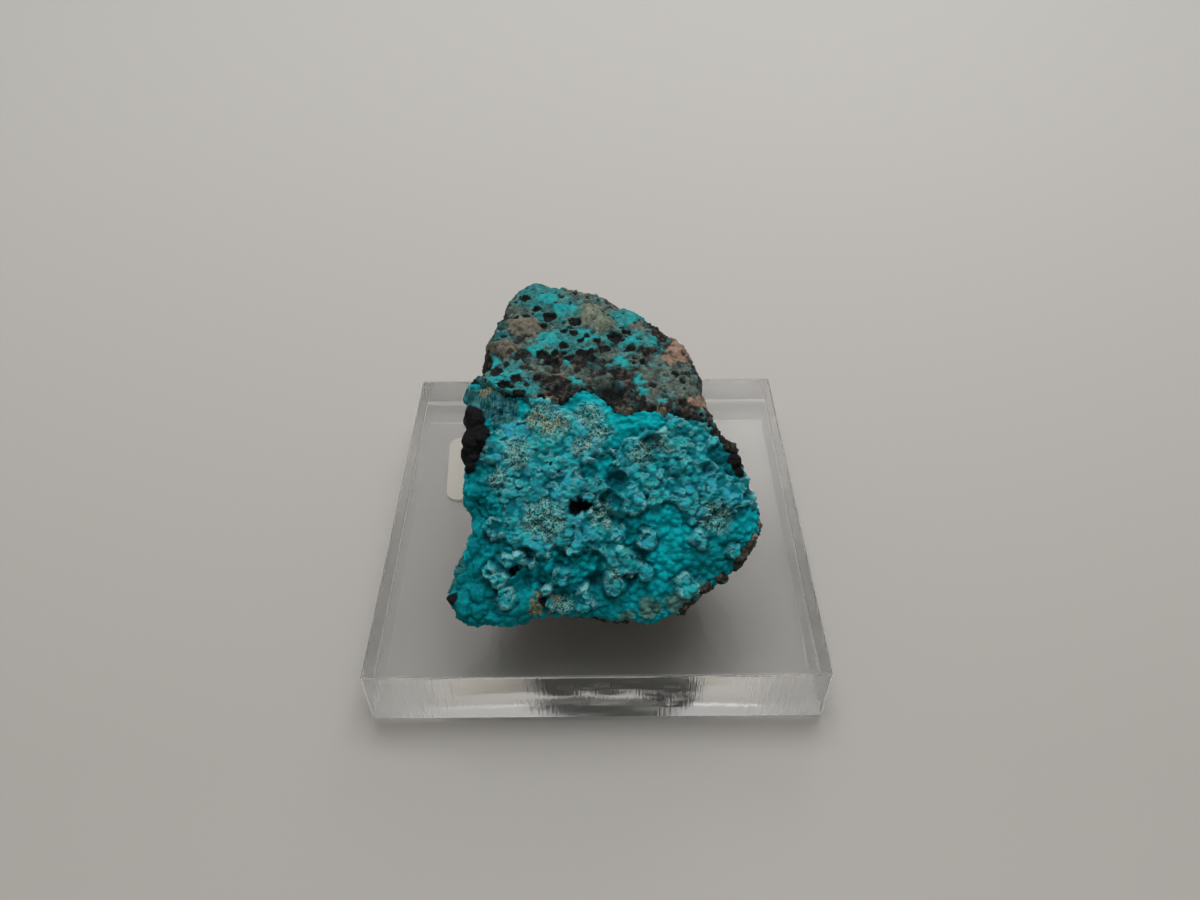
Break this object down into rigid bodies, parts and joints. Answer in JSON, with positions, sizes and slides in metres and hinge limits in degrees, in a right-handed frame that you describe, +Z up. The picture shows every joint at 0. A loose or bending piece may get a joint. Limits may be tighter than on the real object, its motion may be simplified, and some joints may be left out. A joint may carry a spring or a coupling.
{
  "type": "chrysocolla specimen on a clear acrylic base",
  "caption": "Rough chrysocolla with a teal botryoidal crust, held with grey mineral tack on a clear acrylic square that has a blank label underneath.",
  "frame": {"origin": "under the middle of the square, in the plane of the label's underside, which is the lowest face", "axes": "+Z up; -Y towards the side that the teal crust faces; +X to the right when the crust is seen from the front"},
  "size_m": [0.05, 0.05, 0.0321],
  "materials": {
    "chrysocolla": "rough",
    "acrylic": "polished clear",
    "tack": "matte",
    "label": "matte"
  },
  "bodies": {
    "root": {"chrysocolla_specimen": "chrysocolla", "acrylic_base": "acrylic", "tack_front": "tack", "tack_rear": "tack", "label": "label"}
  },
  "joints": []
}
